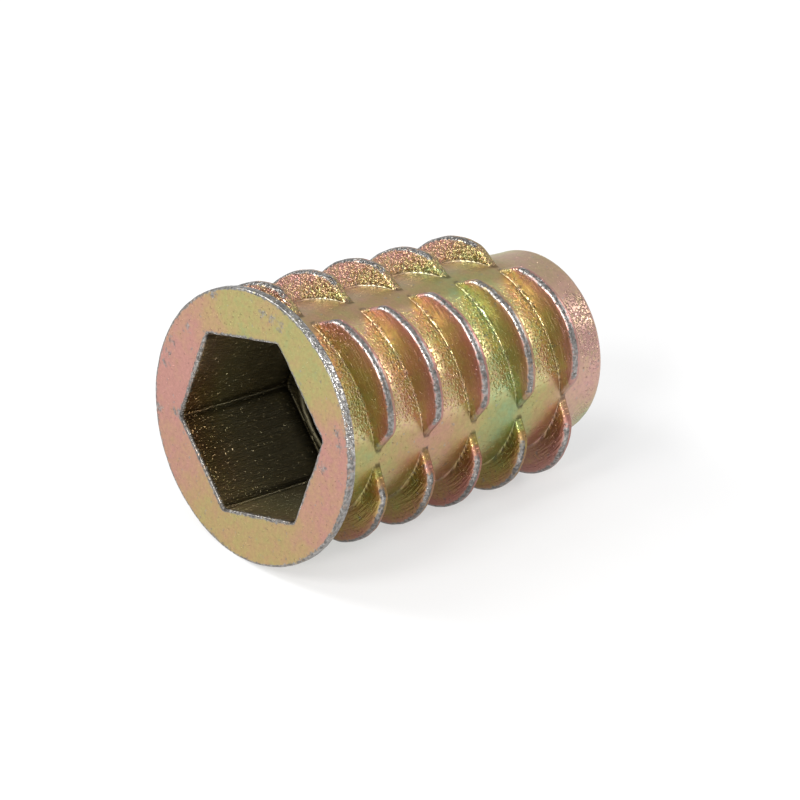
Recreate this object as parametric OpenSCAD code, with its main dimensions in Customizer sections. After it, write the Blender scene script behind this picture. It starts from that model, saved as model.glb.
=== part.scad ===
// Flanged threaded insert for wood, with a hexagon drive: one zinc die casting.
//
// It lies on its side. The flange face is at x = 0 and the nose points along +X.
// The outer thread is right-handed. It is cast by four slides, so each turn is cut
// into four ribs, with a plain lane along the body between one column and the next.

/* [Flange] */
// Diameter of the flange
flange_d = 12.7; // [12.6:0.1:15]
// Thickness of the flange
flange_t = 0.42; // [0.3:0.02:0.8]
// Chamfer round both edges of the flange
flange_edge = 0.08; // [0.02:0.01:0.12]

/* [Body] */
// Overall length, from the flange face to the end of the nose
length = 18; // [17.8:0.1:20]
// Diameter of the core behind the flange
core_d = 9.6; // [9.5:0.05:10.4]
// Diameter of the core where its taper to the nose begins
core_end_d = 9.4; // [9.3:0.05:9.5]
// Distance from the flange face to the start of that taper
core_l = 14.6; // [12:0.1:15.2]
// Diameter of the plain nose
nose_d = 8.9; // [8.6:0.05:9.2]
// Length of the plain nose
nose_l = 1.5; // [0.8:0.1:2]
// Rounding of the nose's outer edge
nose_edge = 0.25; // [0.05:0.05:0.3]

/* [Outer thread] */
// Diameter over the crests at the first turn
thread_d = 12.5; // [11.8:0.1:12.6]
// Diameter over the crests at the last rib, where the thread enters the wood
thread_end_d = 11.8; // [11.2:0.1:12.4]
// Advance of the thread in one turn
pitch = 3; // [2.4:0.05:3.1]
// Turns of thread
turns = 5; // [2:1:5]
// Distance from the flange face to the middle of the first rib
thread_start = 2.15; // [1.6:0.05:2.2]
// Width of the crest
crest_w = 0.46; // [0.3:0.02:0.7]
// Chamfer along both edges of the crest
crest_edge = 0.1; // [0.02:0.02:0.12]
// Width of a rib where it meets the core, at the middle of its length
root_w = 0.9; // [0.8:0.02:1.6]
// Radius of a rib's crest, seen along the body: tighter than the thread's own
lobe_r = 3.95; // [3.6:0.05:4.4]
// Length of a rib across the corners of its crest
rib_l = 5.5; // [4.6:0.1:5.8]
// Draft on the ends of the ribs, so that the slides come free
rib_draft = 14; // [8:1:20]

/* [Hexagon drive] */
// Width of the socket across its flats
socket_af = 8; // [7:0.05:8.1]
// Depth of the socket
socket_depth = 6.5; // [4.5:0.1:9]
// Radius in the socket's corners
socket_corner = 0.3; // [0.1:0.05:0.6]
// Turn of the socket's corner from the middle of the first column of ribs
socket_turn = -4; // [-30:1:30]
// Width of the broken edge round the socket's mouth
socket_edge = 0.12; // [0.02:0.02:0.2]

/* [Machine thread] */
// Diameter of the hole for the machine thread, as cast for an M8 tap
bore_d = 6.8; // [6:0.05:7]
// Depth of the countersink at each end of the machine thread
bore_lead = 0.5; // [0.1:0.05:0.7]

/* [Hidden] */
$fn = 96;
slack = 0.5;
columns = 4;
column_step = 360 / columns;
first_column = 135;
last_rib = turns * columns - 1;
lobe_offset = thread_d / 2 - lobe_r;
crest_loss = (thread_d - thread_end_d) / 2;
lead_angle = atan(pitch / (PI * (core_d + thread_d) / 2));
socket_corners_r = socket_af / 2 / cos(30);

// The flange, and the core that tapers to the plain nose.
module blank() {
    r = flange_d / 2;
    nose_r = nose_d / 2;
    rotate_extrude()
        polygon([
            [0, 0],
            [r - flange_edge, 0],
            [r, flange_edge],
            [r, flange_t - flange_edge],
            [r - flange_edge, flange_t],
            [core_d / 2, flange_t],
            [core_end_d / 2, core_l],
            [nose_r, length - nose_l],
            for (a = [0 : 30 : 90])
                [nose_r - nose_edge * (1 - cos(a)), length - nose_edge * (1 - sin(a))],
            [0, length]
        ]);
}

// One whole turned ring with the thread's section, from which a rib is cut.
module ring(crest_r) {
    root_r = core_d / 2 - lobe_offset;
    rotate_extrude()
        polygon([
            [0, -root_w / 2],
            [root_r, -root_w / 2],
            [crest_r - crest_edge, -crest_w / 2],
            [crest_r, -crest_w / 2 + crest_edge],
            [crest_r, crest_w / 2 - crest_edge],
            [crest_r - crest_edge, crest_w / 2],
            [root_r, root_w / 2],
            [0, root_w / 2]
        ]);
}

// The space that one slide opens: its sides draw in outwards, at the ribs' draft.
module slide_space() {
    corner = [lobe_offset + sqrt(pow(lobe_r, 2) - pow(rib_l / 2, 2)), rib_l / 2];
    inner = core_d / 2 * cos(column_step / 2);
    outer = thread_d / 2 + slack;
    function half(x) = corner[1] + (corner[0] - x) * tan(rib_draft);
    linear_extrude(length)
        polygon([
            [inner, -half(inner)],
            [outer, -half(outer)],
            [outer, half(outer)],
            [inner, half(inner)]
        ]);
}

// One column of ribs, one to a turn, each leaning at the thread's lead angle.
module column(c) {
    rotate([0, 0, first_column + c * column_step])
        intersection() {
            for (i = [0 : turns - 1]) {
                n = i * columns + c;
                translate([lobe_offset, 0, thread_start + pitch * n / columns])
                    rotate([lead_angle, 0, 0])
                        ring(lobe_r - crest_loss * n / last_rib);
            }
            slide_space();
        }
}

// The hexagon, with its corners rounded, grown outwards by a margin.
module hexagon(grow = 0) {
    offset(r = socket_corner + grow)
        circle(r = socket_corners_r - socket_corner / cos(30), $fn = 6);
}

// The drive socket, with a corner near the middle of the first column of ribs.
module socket() {
    rotate([0, 0, first_column + socket_turn]) {
        translate([0, 0, -slack])
            linear_extrude(socket_depth + slack)
                hexagon();
        hull() {
            translate([0, 0, -slack])
                linear_extrude(slack)
                    hexagon(socket_edge);
            linear_extrude(socket_edge)
                hexagon();
        }
    }
}

// The hole for the machine thread, countersunk from the socket and from the nose.
module bore() {
    r = bore_d / 2;
    translate([0, 0, socket_depth - slack])
        cylinder(r = r, h = length - socket_depth + 2 * slack);
    translate([0, 0, socket_depth])
        cylinder(r1 = r + bore_lead, r2 = r, h = bore_lead);
    translate([0, 0, length - bore_lead])
        cylinder(r1 = r, r2 = r + bore_lead + slack, h = bore_lead + slack);
}

// The casting, lying on its side with a lane between two columns of ribs below.
module insert() {
    color("#A89C62")
        rotate([0, 90, 0])
            difference() {
                union() {
                    blank();
                    for (c = [0 : columns - 1])
                        column(c);
                }
                socket();
                bore();
            }
}

insert();
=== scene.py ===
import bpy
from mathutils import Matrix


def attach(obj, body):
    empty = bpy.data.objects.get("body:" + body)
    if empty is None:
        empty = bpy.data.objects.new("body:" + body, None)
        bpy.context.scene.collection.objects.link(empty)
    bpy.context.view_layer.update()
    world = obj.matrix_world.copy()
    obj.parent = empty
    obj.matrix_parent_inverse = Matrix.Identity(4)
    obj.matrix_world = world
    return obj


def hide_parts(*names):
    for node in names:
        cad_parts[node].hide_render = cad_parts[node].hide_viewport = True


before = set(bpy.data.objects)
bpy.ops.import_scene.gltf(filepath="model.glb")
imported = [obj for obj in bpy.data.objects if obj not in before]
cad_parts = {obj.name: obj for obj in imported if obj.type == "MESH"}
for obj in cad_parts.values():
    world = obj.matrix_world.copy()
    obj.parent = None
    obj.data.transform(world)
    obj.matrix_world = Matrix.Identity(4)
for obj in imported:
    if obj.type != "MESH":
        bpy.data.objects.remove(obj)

"""A flanged threaded insert of die-cast zinc with a yellow chromate finish, lying on its side.

The casting is one closed skin, drawn from the flange's rim over the outer thread, round the
nose, back through the tapped hole and the hexagon socket, and out over the flange's face.
Lengths here are millimetres until the mesh is made, and angles are degrees round the X axis.
"""
import math

import bpy
import numpy as np
from mathutils import Matrix, Vector

MM = 0.001
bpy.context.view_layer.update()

# The casting's sizes, as in the part's source.
FLANGE_R, FLANGE_T = 6.35, 0.42
LENGTH, CORE_L, NOSE_L = 18.0, 14.6, 1.5
CORE_R, CORE_END_R, NOSE_R = 4.8, 4.7, 4.45
PITCH, TURNS, THREAD_START = 3.0, 5, 2.15
CREST_W, ROOT_W, CREST_EDGE = 0.46, 0.9, 0.1
LOBE_R, RIB_L, RIB_DRAFT = 3.95, 5.5, 14.0
LOBE_OFFSET, CREST_LOSS = 2.3, 0.35
COLUMNS, FIRST_COLUMN = 4, 135.0
SOCKET_FLAT, SOCKET_DEPTH, SOCKET_CORNER, SOCKET_TURN = 4.0, 6.5, 0.3, -4.0
BORE_R, BORE_LEAD = 3.4, 0.5
# M8 x 1.25, which the source leaves out.
TAP_PITCH, TAP_DEPTH = 1.25, 0.6
# Roundings of the flange's rim, of its fillet and of the nose.
RIM_EDGE, FLANGE_FILLET, NOSE_EDGE = 0.08, 0.15, 0.25

STEP = 360 / COLUMNS
rng = np.random.default_rng(8)


def smin(a, b, k):
    """The lesser of a and b, with the corner between them rounded over k."""
    h = np.clip(0.5 + 0.5 * (b - a) / k, 0, 1)
    return b * (1 - h) + a * h - k * h * (1 - h)


def smax(a, b, k):
    """The greater of a and b, with the corner between them rounded over k."""
    return -smin(-a, -b, k)


LATTICE = rng.random((32, 32, 32))


def mottle(p, size):
    """Smooth random numbers from 0 to 1 in space, changing over about size millimetres."""
    q = np.asarray(p) / size + 7.3
    i = np.floor(q).astype(int)
    f = q - i
    f = f * f * (3 - 2 * f)
    total = 0
    for dx in (0, 1):
        for dy in (0, 1):
            for dz in (0, 1):
                w = (np.where(dx, f[..., 0], 1 - f[..., 0]) * np.where(dy, f[..., 1], 1 - f[..., 1])
                     * np.where(dz, f[..., 2], 1 - f[..., 2]))
                corner = (i + np.array((dx, dy, dz))) % 32
                total = total + w * LATTICE[corner[..., 0], corner[..., 1], corner[..., 2]]
    return total


# ---- The stations round the axis: close together at the ribs' ends and the socket's corners.

def stations():
    """The angles at which the skin has points, with a number in each quarter that four divides."""
    half = np.concatenate([np.arange(0, 24, 1.7), np.arange(24, 34, 0.75), np.arange(34, 45, 1.2)])
    sector = np.concatenate([half, -half[1:], [-45.0], SOCKET_TURN + np.arange(-2.4, 2.5, 0.6)])
    sector = np.unique(np.round(sector, 3))
    keep = [sector[0]]
    for s in sector[1:]:
        if s - keep[-1] > 0.3:
            keep.append(s)
    while len(keep) % 4:
        del keep[len(keep) // 3]
    return np.concatenate([FIRST_COLUMN + c * STEP + np.array(keep) for c in range(COLUMNS)])


PHI = stations()
N = len(PHI)


def place(x, r, phi):
    """Points at x along the axis and r from it, phi degrees round."""
    a = np.radians(phi)
    return np.stack(np.broadcast_arrays(x, r * np.sin(a), -r * np.cos(a)), -1)


# ---- The outer surface: core, taper, nose and the ribs that stand on them.

def core_radius(x):
    """The core's taper, the short cone and the plain nose."""
    core = CORE_R + (CORE_END_R - CORE_R) * (x - FLANGE_T) / (CORE_L - FLANGE_T)
    taper = CORE_END_R + (NOSE_R - CORE_END_R) * (x - CORE_L) / (LENGTH - NOSE_L - CORE_L)
    return smax(smin(core, taper, 0.3), NOSE_R, 0.2)


def below_crest(along):
    """How deep the side of a rib lies below its crest, at a distance along the axis from the
    middle of the rib. The edge towards the flange is the rounder one."""
    over = np.abs(along) - CREST_W / 2
    edge = np.where(along < 0, 0.2, 0.12)
    rounding = edge - np.sqrt(np.clip(edge ** 2 - np.clip(over + edge, 0, edge) ** 2, 0, None))
    flare = (ROOT_W - CREST_W) / 2 / (6.25 - CORE_R - CREST_EDGE)
    return rounding + np.clip(over, 0, None) / flare


def nearest_rib(x, phi):
    """The column, the rib's number, the way along the axis from the rib's middle, and the angle
    from the column's middle."""
    column = np.floor((phi - FIRST_COLUMN + STEP / 2) / STEP) % COLUMNS
    delta = (phi - FIRST_COLUMN + STEP / 2) % STEP - STEP / 2
    x = x - THREAD_START - PITCH * (column * STEP + delta) / 360
    turn = np.clip(np.round(x / PITCH), 0, TURNS - 1)
    return column, COLUMNS * turn + column, x - PITCH * turn, delta


def rib_radius(x, phi):
    """How far out the nearest rib reaches at x and phi. Far from any rib, it is less than the core."""
    column, n, along, delta = nearest_rib(x, phi)
    depth = np.clip(below_crest(along), 0, 1.8)
    delta = np.radians(np.abs(delta))
    crest = LOBE_R - CREST_LOSS * n / (TURNS * COLUMNS - 1) - depth
    crest = LOBE_OFFSET * np.cos(delta) + np.sqrt(crest ** 2 - (LOBE_OFFSET * np.sin(delta)) ** 2)
    corner = LOBE_OFFSET + math.sqrt(LOBE_R ** 2 - (RIB_L / 2) ** 2)
    draft = math.tan(math.radians(RIB_DRAFT))
    end = (RIB_L / 2 + corner * draft - depth) / (np.sin(delta) + np.cos(delta) * draft)
    # The corner between the crest and the end is crisp at the top, and softens towards the foot.
    return smin(crest, end, 0.14 + 0.45 * np.clip(depth / 0.7, 0, 1))


def outer_radius(x, phi):
    """The core with the ribs on it, as a die that has been at work for a while casts them."""
    core, rib = core_radius(x), rib_radius(x, phi)
    r = smax(core, rib, 0.045)
    p = place(x, r, phi)
    lift = np.clip((r - core) / 1.1, 0, 1)
    # The die's surface is never quite true, and the crests are knocked about the most.
    rough = 0.03 * (mottle(p, 2.2) - 0.5) + 0.014 * (mottle(p, 0.7) - 0.5)
    knocks = 0.035 * lift ** 2 * (mottle(p, 0.42) - 0.6)
    return r + rough + knocks


# ---- The skin is gathered as rings and strips, in one direction all the way round.

points, faces, zones = [], [], []
count = 0


def add(p, zone):
    """Adds points to the skin and gives their numbers."""
    global count
    p = np.asarray(p).reshape(-1, 3)
    points.append(p)
    zones.append(np.full(len(p), zone))
    count += len(p)
    return np.arange(count - len(p), count)


def band(a, b):
    """Quads from ring a to ring b, which have the same stations."""
    a2, b2 = np.roll(a, -1), np.roll(b, -1)
    faces.extend(zip(a.tolist(), a2.tolist(), b2.tolist(), b.tolist()))


def step_down(a, b, flip):
    """Joins ring a to ring b, which has one station for every four of a's."""
    m = len(b)
    for k in range(m):
        b0, b1 = int(b[k]), int(b[(k + 1) % m])
        q = [int(a[(4 * k + s) % (4 * m)]) for s in range(5)]
        made = [(q[0], q[1], b0), (q[1], q[2], b0), (q[2], b1, b0), (q[2], q[3], b1), (q[3], q[4], b1)]
        faces.extend(tuple(reversed(f)) if flip else f for f in made)


def screw_strip(phi, ends, rings, pitch, start, offsets, radius, zone, flip=False):
    """A wall between two rings, at the ends along the axis, whose rows follow a right-hand helix.
    offsets are the rows' places within one pitch, so that the rows lie along the thread's edges."""
    rows = len(offsets)
    chains = []
    for f in phi:
        base = start + pitch * (f - phi[0]) / 360
        turns = np.arange(math.floor((ends[0] - base) / pitch) - 1, math.ceil((ends[1] - base) / pitch) + 2)
        x = (base + pitch * turns[:, None] + np.array(offsets)[None, :]).ravel()
        key = (turns[:, None] * rows + np.arange(rows)[None, :]).ravel()
        kept = (x > ends[0] + 0.05) & (x < ends[1] - 0.05)
        x, key = x[kept], key[kept]
        made = add(place(x, radius(x, np.full(len(x), f)), f), zone)
        chains.append(dict(zip(key.tolist(), made.tolist())))

    def emit(*loop):
        faces.append(loop[::-1] if flip else loop)

    for k in range(len(phi)):
        n = (k + 1) % len(phi)
        a = chains[k]
        b = chains[n] if n else {key - rows: v for key, v in chains[0].items()}
        low, high = max(min(a), min(b)), min(max(a), max(b))
        for s in range(low, high):
            emit(a[s], b[s], b[s + 1], a[s + 1])
        # One column can have rows to spare at an end: they fan from the other column's last row.
        for u in range(min(a), low):
            emit(a[u], b[low], a[u + 1])
        for u in range(min(b), low):
            emit(a[low], b[u], b[u + 1])
        for u in range(high, max(a)):
            emit(a[u], b[high], a[u + 1])
        for u in range(high, max(b)):
            emit(a[high], b[u], b[u + 1])
        emit(int(rings[0][k]), int(rings[0][n]), b[min(b)], a[min(a)])
        emit(a[max(a)], b[max(b)], int(rings[1][n]), int(rings[1][k]))


def ring(x, r, zone, phi=PHI):
    """A ring of points round the axis."""
    return add(place(np.broadcast_to(x, phi.shape), np.broadcast_to(r, phi.shape), phi), zone)


OUTSIDE, HOLE, SOCKET, FACE = range(4)


def worn_rim(x, r, phi=PHI):
    """A ring of the flange, knocked inwards a little here and there."""
    p = place(x, r, phi)
    return r - 0.03 * mottle(p, 1.9) - 0.03 * mottle(p, 0.35) ** 2


def hexagon_radius(phi):
    """The socket's outline: a hexagon whose corners are rounded."""
    off = np.radians((phi - FIRST_COLUMN - SOCKET_TURN + 30) % 60 - 30)
    flat = SOCKET_FLAT / np.cos(math.pi / 6 - np.abs(off))
    centre = (SOCKET_FLAT - SOCKET_CORNER) / math.cos(math.pi / 6)
    inside = np.clip(SOCKET_CORNER ** 2 - (centre * np.sin(off)) ** 2, 0, None)
    arc = centre * np.cos(off) + np.sqrt(inside)
    touch = math.atan2(SOCKET_CORNER / 2, centre + SOCKET_CORNER * math.cos(math.pi / 6))
    return np.where(np.abs(off) < touch, arc, flat)


def tapped_radius(x, phi):
    """The M8 thread, cut in the cored hole, and the countersink at each end."""
    along = (x - TAP_PITCH * phi / 360) % TAP_PITCH - TAP_PITCH / 2
    groove = BORE_R + TAP_DEPTH * np.clip(1.16 - np.abs(along) / (TAP_PITCH / 2) * 1.5, 0, 1)
    from_socket = BORE_R + BORE_LEAD - (x - SOCKET_DEPTH)
    from_nose = BORE_R + BORE_LEAD - (LENGTH - x)
    sink = np.maximum(from_socket, from_nose)
    return smax(np.maximum(groove, BORE_R), sink, 0.04) - 0.01


# Where the rows lie along the axis from a rib's middle: close together at its edges and foot.
TO_NOSE = (0.08, 0.13, 0.17, 0.2, 0.222, 0.235, 0.26, 0.3, 0.34, 0.38, 0.42, 0.46, 0.52, 0.65, 0.85,
           1.15, 1.5)
TO_FLANGE = (0.04, 0.08, 0.12, 0.155, 0.185, 0.21, 0.226, 0.235, 0.25, 0.275, 0.3, 0.33, 0.36, 0.39, 0.42,
             0.45, 0.49, 0.55, 0.66, 0.85, 1.15)
ROWS = sorted((0.0,) + TO_NOSE + tuple(-o for o in TO_FLANGE))
TAP_ROWS = (0.0, 0.12, 0.24, 0.36, 0.46, 0.56, 0.69, 0.79, 0.89, 1.01, 1.13)


def build_skin():
    """The whole casting: the rim, nose, outer thread, hole, socket and face."""
    hexed = hexagon_radius(PHI)
    # The socket's mouth is a broken edge, wider where it is chipped.
    mouth = 0.06 + 0.1 * mottle(place(0.0, hexed, PHI), 0.3)

    # From the face's edge round the rim to the back of the flange.
    rim = []
    for a in (0, 30, 60, 90):
        r = FLANGE_R - RIM_EDGE * (1 - math.sin(math.radians(a)))
        x = RIM_EDGE * (1 - math.cos(math.radians(a)))
        rim.append(ring(x, worn_rim(x, r), OUTSIDE))
    for x in (0.16, 0.26):
        rim.append(ring(x, worn_rim(x, FLANGE_R), OUTSIDE))
    for a in (90, 60, 30, 0):
        r = FLANGE_R - RIM_EDGE * (1 - math.sin(math.radians(a)))
        x = FLANGE_T - RIM_EDGE * (1 - math.cos(math.radians(a)))
        rim.append(ring(x, worn_rim(x, r), OUTSIDE))
    for r in (6.0, 5.6, 5.3):
        rim.append(ring(FLANGE_T, r, OUTSIDE))
    for a in (30, 60, 90):
        rim.append(ring(FLANGE_T + FLANGE_FILLET * (1 - math.cos(math.radians(a))),
                        CORE_R + FLANGE_FILLET * (1 - math.sin(math.radians(a))), OUTSIDE))
    start_x = FLANGE_T + FLANGE_FILLET

    nose = []
    for a in (0, 30, 60, 90):
        nose.append(ring(LENGTH - NOSE_EDGE * (1 - math.sin(math.radians(a))),
                         NOSE_R - NOSE_EDGE * (1 - math.cos(math.radians(a))), OUTSIDE))
    nose.append(ring(LENGTH, BORE_R + BORE_LEAD + 0.07, OUTSIDE))

    screw_strip(PHI, (start_x, LENGTH - NOSE_EDGE), (rim[-1], nose[0]), PITCH,
                THREAD_START + PITCH * (PHI[0] - FIRST_COLUMN) / 360, ROWS, outer_radius, OUTSIDE)

    round_phi = PHI[0] + np.arange(0, 360, 1440 / N)
    nose_hole = ring(LENGTH, BORE_R + BORE_LEAD, HOLE, round_phi)
    floor_hole = ring(SOCKET_DEPTH, BORE_R + BORE_LEAD, HOLE, round_phi)
    step_down(nose[-1], nose_hole, False)
    screw_strip(round_phi, (SOCKET_DEPTH, LENGTH), (floor_hole, nose_hole), TAP_PITCH,
                TAP_PITCH * round_phi[0] / 360, TAP_ROWS, tapped_radius, HOLE, flip=True)

    socket = [ring(SOCKET_DEPTH, BORE_R + BORE_LEAD + 0.04, SOCKET)]
    step_down(socket[0], floor_hole, True)
    socket.append(ring(SOCKET_DEPTH, hexed - 0.08, SOCKET))
    for x in (6.47, 6.4, 5.6, 4.6, 3.6, 2.7, 1.9, 1.2, 0.7, 0.4):
        wall = hexed - (0.03 if x == 6.47 else 0)
        socket.append(ring(x, wall, SOCKET))
    for x, out in ((1.6, 0.0), (0.8, 0.14), (0.3, 0.5), (0.0, 1.0)):
        socket.append(ring(mouth * x, hexed + mouth * out, SOCKET if x else FACE))

    face = []
    edge = FLANGE_R - RIM_EDGE
    for t in (0.08, 0.25, 0.45, 0.65, 0.85, 0.96):
        r = (hexed + mouth) * (1 - t) + edge * t
        p = place(0.0, r, PHI)
        face.append(ring(0.012 * mottle(p, 1.3), r, FACE))

    for chain in (rim, nose, socket):
        for a, b in zip(chain, chain[1:]):
            band(a, b)
    around = [socket[-1]] + face + [rim[0]]
    for a, b in zip(around, around[1:]):
        band(a, b)


build_skin()
P = np.concatenate(points)
ZONE = np.concatenate(zones)

mesh = bpy.data.meshes.new("insert_casting")
mesh.from_pydata((P * MM).tolist(), [], faces)
mesh.update()
mesh.shade_smooth()
casting = bpy.data.objects.new("insert_casting", mesh)
bpy.context.scene.collection.objects.link(casting)
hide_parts("insert")
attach(casting, "root")


# ---- What the finish is like at each point of the skin

X = P[:, 0]
RADIUS = np.hypot(P[:, 1], P[:, 2])
ANGLE = np.degrees(np.arctan2(P[:, 1], -P[:, 2])) % 360
ON_OUTSIDE, ON_FACE, IN_SOCKET, IN_HOLE = ZONE == OUTSIDE, ZONE == FACE, ZONE == SOCKET, ZONE == HOLE
COLUMN, RIB, ALONG, OFF_MIDDLE = nearest_rib(X, ANGLE)
DEPTH = below_crest(ALONG)
# The angle from the nearest of the socket's corners.
HEX_ANGLE = (ANGLE - FIRST_COLUMN - SOCKET_TURN) % 360
OFF_CORNER = np.abs((HEX_ANGLE + 30) % 60 - 30)


def between(v, low, high):
    """0 below low, 1 above high, and a smooth step from one to the other."""
    t = np.clip((v - low) / (high - low), 0, 1)
    return t * t * (3 - 2 * t)


def by_column(top, near, low, far):
    """One value for each column of ribs. The slides' faces were cut by different tools, and each column also
    takes its own painted shade.
    """
    return np.choose(COLUMN.astype(int), [top, near, low, far])


ON_RIB = ON_OUTSIDE * between(RADIUS - core_radius(X), 0.0, 0.12) * (X > 0.7)
ALONG_CREST = between(0.45 - DEPTH, 0, 0.3) * between(ALONG, -0.26, -0.18) * (1 - between(ALONG, 0.0, 0.1))
CREST = ON_RIB * ALONG_CREST * between(36 - np.abs(OFF_MIDDLE), 0, 7)


def outward_bend():
    """How sharply the skin bends outwards at each point, in 1/mm: plating wears off there first."""
    normals = np.zeros(len(P) * 3)
    mesh.vertex_normals.foreach_get("vector", normals)
    normals = normals.reshape(-1, 3)
    ends = np.zeros(len(mesh.edges) * 2, int)
    mesh.edges.foreach_get("vertices", ends)
    ends = ends.reshape(-1, 2)
    both_ways = ((ends[:, 0], ends[:, 1]), (ends[:, 1], ends[:, 0]))
    total, times = np.zeros(len(P)), np.zeros(len(P))
    for i, j in both_ways:
        d = P[j] - P[i]
        bend = -2 * (normals[i] * d).sum(1) / (d * d).sum(1)
        np.add.at(total, i, np.clip(bend, -20, 20))
        np.add.at(times, i, 1)
    bend = total / times
    for _ in range(2):
        total = bend.copy()
        times = np.ones(len(P))
        for i, j in both_ways:
            np.add.at(total, i, bend[j])
            np.add.at(times, i, 1)
        bend = total / times
    return bend


# How thick the chromate film dried: 0.1 is pink, 0.3 tan, 0.5 straw and 0.8 green.
# Rows that follow the thread: the column (0 top, 1 near, 2 low), degrees from its middle, mm from the
# axis and mm along from the rib, then one value at each rib from the flange to the nose.
FILM_ON_RIBS = (
    (0, 12, 5.6, -0.35, (0.12, 0.10, 0.08, 0.10, 0.12)),
    (0, 26, 5.9, -0.45, (0.30, 0.35, 0.35, 0.35, 0.40)),
    (0, 29, 4.8, -0.40, (0.55, 0.60, 0.62, 0.70, 0.70)),
    (1, -32, 5.3, 0.00, (0.25, 0.35, 0.50, 0.90, 0.40)),
    (1, -30, 4.8, -0.90, (0.40, 0.35, 0.35, 0.62, 0.50)),
    (1, -9, 5.2, -0.35, (0.30, 0.45, 0.50, 0.65, 0.35)),
    (1, 8, 4.8, -0.90, (0.62, 0.37, 0.40, 0.68, 0.65)),
    (1, 12, 5.6, -0.30, (0.50, 0.25, 0.25, 0.60, 0.12)),
    (2, -20, 5.4, -0.33, (0.65, 0.60, 0.25, 0.60, 0.12)),
    (2, -4, 5.6, -0.33, (0.30, 0.45, 0.25, 0.50, 0.15)))
# Down the two lanes beside the near column, twice in each turn.
FILM_IN_TOP_LANE = (0.35, 0.35, 0.35, 0.33, 0.32, 0.45, 0.60, 0.50, 0.40, 0.30)
FILM_IN_NEAR_LANE = (0.68, 0.55, 0.42, 0.08, 0.33, 0.50, 0.92, 0.66, 0.45, 0.12)
# Every 15 degrees round the face, from straight below, and every 20 round the nose, from the top.
FILM_ROUND_FACE = (0.38, 0.42, 0.40, 0.15, 0.25, 0.13, 0.05, 0.15, 0.13, 0.25, 0.52, 0.62,
                   0.35, 0.52, 0.85, 0.50, 0.35, 0.03, 0.18, 0.22, 0.13, 0.38, 0.36, 0.45)
FILM_ROUND_NOSE = (0.30, 0.20, 0.12, 0.10, 0.08)


def film_spots():
    """The places of the film's thicknesses: x, y and z in mm, then the thickness."""
    spots = []
    for column, off, r, along, values in FILM_ON_RIBS:
        turned = column * STEP + off
        for rib, thickness in enumerate(values):
            x = THREAD_START + PITCH * (rib + turned / 360) + along
            spots.append([*place(x, r, FIRST_COLUMN + turned), thickness])
    for lane, values in ((180, FILM_IN_TOP_LANE), (270, FILM_IN_NEAR_LANE)):
        for i, thickness in enumerate(values):
            x = THREAD_START + PITCH * i / 2
            spots.append([*place(x, core_radius(x), lane), thickness])
    middle = (FLANGE_R + SOCKET_FLAT) / 2
    for i, thickness in enumerate(FILM_ROUND_FACE):
        spots.append([*place(0.0, middle, 15 * i), thickness])
    for i, thickness in enumerate(FILM_ROUND_NOSE):
        spots.append([*place(LENGTH - NOSE_L / 2, NOSE_R, 180 + 20 * i), thickness])
    return np.array(spots)


def near_spots(places, reach):
    """How near each point is to each of the places: 1 there, falling away over reach."""
    apart = ((P[:, None, :] - places[None]) ** 2).sum(-1)
    return np.exp(-apart / (2 * reach ** 2))


def film_thickness():
    """How thick the chromate film is: as its places say, and by chance where there are none."""
    spots = film_spots()
    near = near_spots(spots[:, :3], 0.9)
    anywhere = np.clip(0.5 + 1.6 * (mottle(P, 3.1) - 0.5), 0, 1)
    film = (near @ spots[:, 3] + 0.08 * anywhere) / (near.sum(1) + 0.08)
    film = np.where(ON_FACE, np.minimum(0.4 + 1.4 * (film - 0.4), 0.58), film)
    # It is thin near the ribs' crests.
    near_crest = ON_OUTSIDE * (RADIUS > CORE_R + 0.3) * between(0.8 - DEPTH, 0, 0.7)
    return film - by_column(0.12, 0.42, 0.28, 0.2) * near_crest


# Rubbed stretches of the face: from and to, in degrees round it, and mm from the axis.
RUBBED = ((73, 73, 6.1), (73, 73, 4.9), (95, 107, 5.8), (121, 121, 5.5), (145, 145, 6.1), (177, 189, 5.5),
          (246, 252, 5.7), (266, 266, 4.7))
RUB_EVERY = 6


def wear():
    """Where plating has worn off: the crests, the rim, the socket's mouth and scuffs on the face."""
    rim = np.where(ON_OUTSIDE | ON_FACE, between(RADIUS, 6.14, 6.24), 0) * (X < 0.6)
    mouth = IN_SOCKET * between(0.35 - X, 0, 0.3)
    mouth = np.where(ON_FACE, between(0.26 - (RADIUS - hexagon_radius(ANGLE)), 0, 0.14), mouth)
    scuffs = [place(0.0, r, a) for first, last, r in RUBBED for a in range(first, last + 1, RUB_EVERY)]
    scuffed = ON_FACE * 0.95 * near_spots(np.array(scuffs), 0.24).max(1)
    return np.maximum(np.maximum(CREST, rim), np.maximum(mouth, scuffed))


# The socket's wall is roughest near its mouth, on one side.
ROUGH_WALL = (IN_SOCKET * between(P[:, 1], 0.5, 3.5) * between(1.5 - P[:, 2], 0, 2)
              * between(2.8 - X, 0, 2.8))


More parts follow.
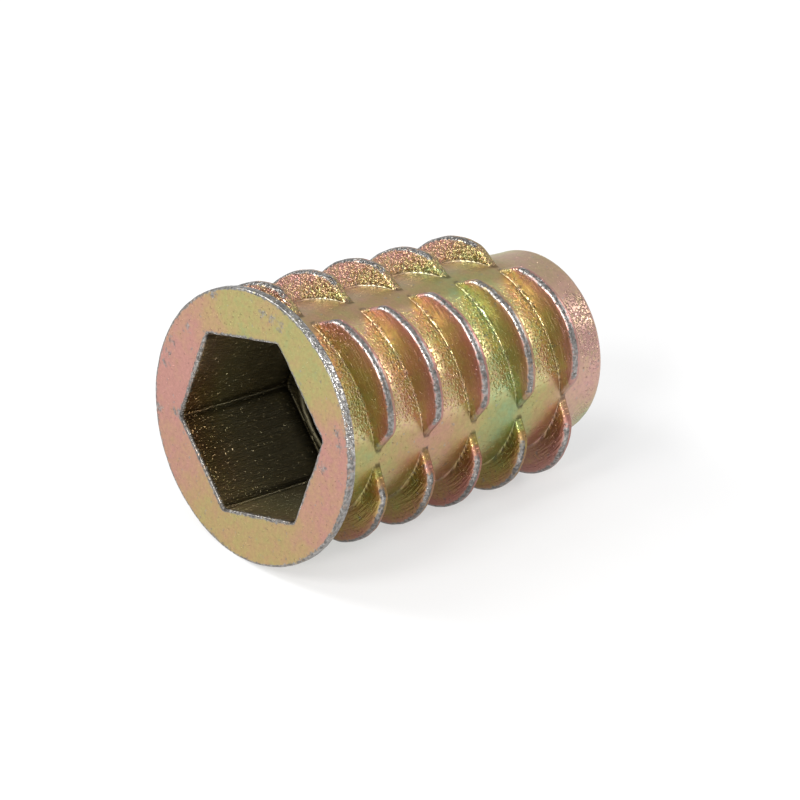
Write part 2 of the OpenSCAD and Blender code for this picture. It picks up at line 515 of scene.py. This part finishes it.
def graininess(worn):
    """How grainy the die left each part. The top column is the coarsest."""
    side = by_column(1.0, 0.2, 0.3, 0.8)
    side = np.where(COLUMN == 1, side + 0.3 * between(-OFF_MIDDLE, 2, 36), side)
    ground = by_column(0.15, 0.75, 0.3, 0.3) * between(38 - np.abs(OFF_MIDDLE), 0, 14)
    grain = np.where(ON_OUTSIDE, ON_RIB * side + (1 - ON_RIB) * (0.06 + ground), 0.18)
    # The nose is smooth but for a patch half way along it.
    off_patch = np.hypot(X - (LENGTH - NOSE_L / 2), P[:, 1] + 0.75 * NOSE_R)
    patch = between(1.3 - off_patch, 0, 0.5)
    grain = np.where(ON_OUTSIDE & (X > 15.6), 0.12 + 0.8 * patch, grain)
    grain = np.maximum(grain, np.maximum(0.4 * CREST, 0.35 * worn))
    wall = 0.1 + 0.1 * (1 - between(OFF_CORNER, 1.5, 4)) + 0.2 * ROUGH_WALL
    return np.where(IN_SOCKET, wall, grain)


def tool_marks():
    """How deep the cutters' lines are, and a place for each point that changes quickly across them."""
    streak = ON_RIB * by_column(0.3, 0.4, 0.45, 0.5) * (1 - CREST)
    streak = np.where(IN_SOCKET, 1.0, streak)
    across_flat = np.tan(np.radians(HEX_ANGLE % 60 - 30)) * SOCKET_FLAT
    on_wall = np.stack([across_flat, 0.06 * X, np.floor(HEX_ANGLE / 60)], 1)
    on_side = np.stack([RADIUS, 0.12 * np.radians(ANGLE) * RADIUS, RIB * 3.7], 1)
    return streak, np.where(IN_SOCKET[:, None], on_wall, on_side)


def richness_and_painted_light():
    """How rich the colour is against the plain film's, and how much light and shade is painted on it."""
    lane = ON_OUTSIDE * (1 - ON_RIB) * (1 - between(X, 14.0, 15.6))
    by_top_lane = (COLUMN == 0) * lane * between(OFF_MIDDLE, 5, 25) * (1 - between(OFF_MIDDLE, 32, 45))
    near_core = (COLUMN == 1) * lane * between(38 - np.abs(OFF_MIDDLE), 0, 10)
    nose = ON_OUTSIDE * between(X, 14.4, 15.8)
    low_ribs = ON_RIB * (COLUMN == 2)
    near_ribs = ON_RIB * (COLUMN == 1) * between(OFF_MIDDLE, -22, 6) * (1 - CREST)
    # The low ribs are painted richer, a painted reflection in place of the colour that light bouncing between
    # them deepens; the socket's rough wall is richer too.
    rich = 1 + 0.2 * low_ribs * (1 - CREST) + 0.35 * ROUGH_WALL
    rich = rich - 0.1 * near_core - 0.3 * by_top_lane - 0.15 * nose
    # Painted light and shade: the top and low ribs are painted darker, the near ribs darker towards their
    # lower ends, and the near column's cores and the nose lighter.
    light = 1 + ON_RIB * by_column(-0.12, 0, -0.36, 0) - 0.16 * near_ribs + 0.45 * near_core + 0.14 * nose
    # Painted shade in the hollows: the foot of each rib, the hole, and the socket's corners and depth are
    # darkened, and the socket is painted a little lighter at its mouth.
    above = rib_radius(X, ANGLE) - core_radius(X)
    foot = ON_OUTSIDE * (X > 0.7) * between(above, -0.07, -0.02) * (1 - between(above, 0.04, 0.1))
    corner = 0.55 * (1 - between(OFF_CORNER, 1.5, 5))
    painted_shading = np.maximum(corner, 0.93 * (X > 6.3)) + 0.15 * ROUGH_WALL + 0.35 * between(X, 0.5, 5) - 0.2
    light = light - 0.55 * foot - 0.93 * IN_HOLE - IN_SOCKET * np.minimum(painted_shading, 0.93)
    # A painted highlight: the upper tips of the low ribs are lightened along their edges, where they catch
    # the light.
    tip = low_ribs * between(-OFF_MIDDLE, 12, 24) * between(0.4 - DEPTH, 0, 0.2) * between(-ALONG, 0.05, 0.12)
    return rich, light + 0.6 * tip


def bare_inside():
    """Where little film grew: the hole, and the socket away from its mouth."""
    wall = between(X, 0.05, 0.22) * (1 - 0.5 * between(3.4 - X, 0, 3.2))
    return np.where(IN_SOCKET, wall, IN_HOLE)


def to_attribute(name, values):
    """Gives the mesh one number, or one vector, for each point, for the finish to read."""
    values = np.asarray(values, np.float32)
    if values.ndim == 1:
        mesh.attributes.new(name, "FLOAT", "POINT").data.foreach_set("value", values)
    else:
        mesh.attributes.new(name, "FLOAT_VECTOR", "POINT").data.foreach_set("vector", values.ravel())


WORN = wear()
STREAK, MARKS = tool_marks()
RICH, LIGHT = richness_and_painted_light()
to_attribute("film", film_thickness())
to_attribute("rich", RICH)
to_attribute("shade", LIGHT)
to_attribute("worn", WORN)
to_attribute("grain", graininess(WORN))
to_attribute("streak", STREAK)
to_attribute("bend", outward_bend())
to_attribute("inside", bare_inside())
to_attribute("marks", MARKS)


# ---- Materials

def linear(code):
    """An sRGB hex colour as linear RGBA."""
    c = [int(code[i:i + 2], 16) / 255 for i in (0, 2, 4)]
    return [v / 12.92 if v <= 0.04045 else ((v + 0.055) / 1.055) ** 2.4 for v in c] + [1.0]


def add_node(tree, kind, inputs=None, stops=(), **settings):
    """Adds a node with its settings. Each input takes a value, or the output of another node."""
    made = tree.nodes.new("ShaderNode" + kind)
    for name, value in settings.items():
        setattr(made, name, value)
    for name, value in (inputs or {}).items():
        if isinstance(value, bpy.types.NodeSocket):
            tree.links.new(value, made.inputs[name])
        else:
            made.inputs[name].default_value = value
    for i, (at, code) in enumerate(stops):
        spot = made.color_ramp.elements[i] if i < 2 else made.color_ramp.elements.new(at)
        spot.position, spot.color = at, linear(code)
    return made


def per_mm(size):
    """A texture's scale, for a pattern that repeats about every size millimetres."""
    return 1 / (size * MM)


def yellow_chromated_zinc():
    """Die-cast zinc, barrel-plated and yellow-chromated: a satin metal that shines tan, and pink
    or green where the film is thinner or thicker, with bare grey edges, grain and tool marks.
    The mesh's attributes say how much of each there is at each point, and how much light and shade is painted
    there."""
    m = bpy.data.materials.new("yellow_chromated_zinc")
    m.use_nodes = True
    t = m.node_tree
    t.nodes.clear()
    where = add_node(t, "TexCoord").outputs["Object"]
    marks = add_node(t, "Attribute", attribute_name="marks").outputs["Vector"]
    film, rich, shade, worn, grain, streak, bend, inside = [
        add_node(t, "Attribute", attribute_name=name).outputs["Fac"]
        for name in ("film", "rich", "shade", "worn", "grain", "streak", "bend", "inside")]

    # The film's colour turns from pink through tan to green as it thickens.
    clouds = add_node(t, "TexNoise", {"Vector": where, "Scale": per_mm(0.8), "Detail": 5.0, "Roughness": 0.7})
    drift = add_node(t, "MapRange", {"Value": clouds.outputs["Fac"], "From Min": 0.3, "From Max": 0.7,
                                     "To Min": -0.16, "To Max": 0.16})
    patchy = add_node(t, "Math", {0: film, 1: drift.outputs[0]}, operation="ADD")
    fine = add_node(t, "TexNoise", {"Vector": where, "Scale": per_mm(0.17), "Detail": 4.0, "Roughness": 0.7})
    flecks = add_node(t, "MapRange", {"Value": fine.outputs["Fac"], "From Min": 0.3, "From Max": 0.7,
                                      "To Min": -0.22, "To Max": 0.32})
    thickness = add_node(t, "Math", {0: flecks.outputs[0], 1: grain, 2: patchy.outputs[0]},
                         operation="MULTIPLY_ADD")
    tint = add_node(t, "ValToRGB", {"Fac": thickness.outputs[0]}, stops=(
        (0.02, "CB978C"), (0.95, "98B488"), (0.20, "C89E84"), (0.40, "C3A77A"), (0.58, "BBB076"),
        (0.75, "A9B07A")))
    # A fine random mottle of brightness, times the painted light and shade of the shade attribute.
    cloud = add_node(t, "MapRange", {"Value": fine.outputs["Fac"], "From Min": 0.3, "From Max": 0.7,
                                     "To Min": 0.88, "To Max": 1.1})
    light = add_node(t, "Math", {0: cloud.outputs[0], 1: shade}, operation="MULTIPLY")

    # Bare zinc shows along the worn edges, raggedly, and in a few pits.
    ragged = add_node(t, "TexNoise", {"Vector": where, "Scale": per_mm(0.22), "Detail": 3.0,
                                      "Roughness": 0.65})
    chewed = add_node(t, "MapRange", {"Value": ragged.outputs["Fac"], "From Min": 0.3, "From Max": 0.7,
                                      "To Min": -0.5, "To Max": 0.2})
    rubbed = add_node(t, "Math", {0: worn, 1: chewed.outputs[0]}, operation="ADD")
    edge = add_node(t, "MapRange", {"Value": rubbed.outputs[0], "From Min": 0.35, "From Max": 0.75})
    sharp = add_node(t, "MapRange", {"Value": bend, "From Min": -3.0, "From Max": 0.5})
    edges = add_node(t, "Math", {0: edge.outputs[0], 1: sharp.outputs[0]}, operation="MULTIPLY")
    dots = add_node(t, "TexNoise", {"Vector": where, "Scale": per_mm(0.3), "Detail": 2.0, "Roughness": 0.5})
    pits = add_node(t, "MapRange", {"Value": dots.outputs["Fac"], "From Min": 0.66, "From Max": 0.72,
                                    "To Max": 0.5})
    bare = add_node(t, "Math", {0: edges.outputs[0], 1: pits.outputs[0]}, operation="MAXIMUM")
    dull = add_node(t, "TexNoise", {"Vector": where, "Scale": per_mm(0.16), "Detail": 2.0, "Roughness": 0.6})
    zinc = add_node(t, "ValToRGB", {"Fac": dull.outputs["Fac"]}, stops=(
        (0.35, "757370"), (0.65, "B4B2AF"), (0.5, "928F8C")))
    outside = add_node(t, "Mix", {0: bare.outputs[0], 6: tint.outputs["Color"], 7: zinc.outputs["Color"]},
                       data_type="RGBA")
    # Little film grew inside, so the hole and socket take a plainer colour; their darkness is painted shade,
    # from the shade attribute.
    colour = add_node(t, "Mix", {0: inside, 6: outside.outputs[2], 7: linear("B5AB89")}, data_type="RGBA")
    # The painted light and shade, and the colour's richness, applied to the colour.
    painted_shading = add_node(t, "HueSaturation", {"Color": colour.outputs[2], "Value": light.outputs[0],
                                         "Saturation": rich})

    # Grain from the die, and the lines its cutters left. Both are drawn a little coarser than they are.
    beads = add_node(t, "TexNoise", {"Vector": where, "Scale": per_mm(0.11), "Detail": 1.0, "Roughness": 0.5})
    sparse = add_node(t, "MapRange", {"Value": grain, "To Min": 0.71, "To Max": 0.42})
    grit = add_node(t, "MapRange", {"Value": beads.outputs["Fac"], "From Min": sparse.outputs[0],
                                    "From Max": 0.8})
    lines = add_node(t, "TexNoise", {"Vector": marks, "Scale": 1 / 0.09, "Detail": 1.0, "Roughness": 0.5})
    cuts = add_node(t, "Math", {0: lines.outputs["Fac"], 1: streak}, operation="MULTIPLY")
    height = add_node(t, "Math", {0: grit.outputs[0], 1: cuts.outputs[0]}, operation="ADD")
    bump = add_node(t, "Bump", {"Height": height.outputs[0], "Strength": 1.0, "Distance": 0.07 * MM})
    satin = add_node(t, "MapRange", {"Value": grain, "From Min": 0.1, "From Max": 0.7,
                                     "To Min": 0.38, "To Max": 0.22})
    shader = add_node(t, "BsdfPrincipled", {"Base Color": painted_shading.outputs["Color"], "Metallic": 1.0,
                                            "Roughness": satin.outputs[0], "Normal": bump.outputs["Normal"]})
    add_node(t, "OutputMaterial", {"Surface": shader.outputs[0]})
    return m


mesh.materials.append(yellow_chromated_zinc())


# ---- The floor, on the plane that the insert comes to rest on

# How strongly the floor glows to the eye, and half its width in metres.
FLOOR_GLOW = 0.51
FLOOR_HALF = 0.6


def resting_plane():
    """The plane under the casting that carries its weight, as z = h + a (x - cx) + b (y - cy)."""
    cx, cy = 8.2, 0.0
    low = P[P[:, 2] < -5.0]
    best, a, b, span = -1e9, 0.0, 0.0, 0.2
    for _ in range(7):
        tries_a = a + np.linspace(-span, span, 21)
        tries_b = b + np.linspace(-span, span, 21)
        for ta in tries_a:
            for tb in tries_b:
                h = (low[:, 2] - ta * (low[:, 0] - cx) - tb * (low[:, 1] - cy)).min()
                if h > best:
                    best, a, b = h, ta, tb
        span /= 6
    return best, a, b, cx, cy


def white_paper():
    """Plain white paper, dull. It glows to the eye as lit paper does, and lights nothing, so that
    it keeps its shadow."""
    m = bpy.data.materials.new("white_paper")
    m.use_nodes = True
    t = m.node_tree
    t.nodes.clear()
    ray = add_node(t, "LightPath")
    seen = add_node(t, "Math", {0: ray.outputs["Is Glossy Ray"], 1: 0.7, 2: ray.outputs["Is Camera Ray"]},
                    operation="MULTIPLY_ADD")
    share = add_node(t, "Math", {0: seen.outputs[0], 1: FLOOR_GLOW}, operation="MULTIPLY")
    glow = add_node(t, "Emission", {"Color": linear("FFFFFF"), "Strength": share.outputs[0]})
    paper = add_node(t, "BsdfDiffuse", {"Color": linear("B0B0B0")})
    both = add_node(t, "AddShader", {0: paper.outputs[0], 1: glow.outputs[0]})
    add_node(t, "OutputMaterial", {"Surface": both.outputs[0]})
    return m


def lay_floor():
    """A sheet in the resting plane, tilted so that the casting's own axis stays level."""
    h, a, b, cx, cy = resting_plane()
    up = Vector((-a, -b, 1)).normalized()
    s = FLOOR_HALF
    sheet = bpy.data.meshes.new("floor")
    sheet.from_pydata([(-s, -s, 0), (s, -s, 0), (s, s, 0), (-s, s, 0)], [], [(0, 1, 2, 3)])
    sheet.materials.append(white_paper())
    floor = bpy.data.objects.new("floor", sheet)
    bpy.context.scene.collection.objects.link(floor)
    tilt = up.to_track_quat("Z", "Y").to_matrix().to_4x4()
    floor.matrix_world = Matrix.Translation(Vector((cx, cy, h)) * MM) @ tilt


lay_floor()


# ---- Camera and light

# The camera looks past the flange from its left front: it turns from +X, looks down, and is rolled.
TURN, LOOK_DOWN, ROLL = (math.radians(d) for d in (41.799, 26.936, 9.784))
AIM, AWAY = Vector((3.17, -5.61, 3.32)), 173.0
flat = math.cos(LOOK_DOWN)
ahead = Vector((flat * math.cos(TURN), flat * math.sin(TURN), -math.sin(LOOK_DOWN)))
level = ahead.cross(Vector((0, 0, 1))).normalized()
right = level * math.cos(ROLL) + level.cross(ahead) * math.sin(ROLL)
up = right.cross(ahead)

lens = bpy.data.cameras.new("camera")
lens.lens = 180
lens.sensor_width = 36
lens.clip_start = 0.01
lens.clip_end = 5
camera = bpy.data.objects.new("camera", lens)
bpy.context.scene.collection.objects.link(camera)
pose = Matrix((right, up, -ahead)).transposed().to_4x4()
pose.translation = (AIM - ahead * AWAY) * MM
camera.matrix_world = pose
bpy.context.scene.camera = camera


def from_camera(x, y, z):
    """A direction given as x to the right, y up and z towards the camera."""
    return (right * x + up * y - ahead * z).normalized()


def softbox(name, side, far, long, wide, along, watts):
    """A soft rectangular lamp, far millimetres off on the given side, with its length along a direction."""
    data = bpy.data.lights.new(name, "AREA")
    data.shape = "RECTANGLE"
    data.size = long * MM
    data.size_y = wide * MM
    data.energy = watts
    made = bpy.data.objects.new(name, data)
    z = from_camera(*side)
    x = from_camera(*along)
    x = (x - z * x.dot(z)).normalized()
    made.matrix_world = Matrix((x, z.cross(x), z)).transposed().to_4x4()
    made.location = (Vector((8, 0, 0)) + z * far) * MM
    bpy.context.scene.collection.objects.link(made)


softbox("key", (-0.66, 0.64, 0.36), 300, 200, 80, (-0.55, -0.3, -0.55), 0.3)
softbox("bulb", (-0.76, 0.62, 0.1), 300, 90, 90, (0, 1, 0), 0.18)
softbox("window", (-0.45, 0.3, 0.83), 300, 80, 80, (0, 1, 0), 0.36)
softbox("lamp_by_camera", (-0.32, -0.05, 0.94), 300, 40, 60, (0, 1, 0), 0.32)
softbox("fill", (0.85, 0.48, 0.15), 350, 140, 140, (0, 1, 0), 0.24)

# A plain pale room. The eye sees it white.
world = bpy.data.worlds.new("studio")
bpy.context.scene.world = world
world.use_nodes = True
t = world.node_tree
t.nodes.clear()
ray = add_node(t, "LightPath")
backdrop = add_node(t, "Background", {"Color": linear("FFFFFF"), "Strength": 1.0})
room = add_node(t, "Background", {"Color": linear("FFFFFF"), "Strength": 0.6})
pick = add_node(t, "MixShader", {0: ray.outputs["Is Camera Ray"], 1: room.outputs[0], 2: backdrop.outputs[0]})
add_node(t, "OutputWorld", {"Surface": pick.outputs[0]})

bpy.context.scene.view_settings.view_transform = "Standard"
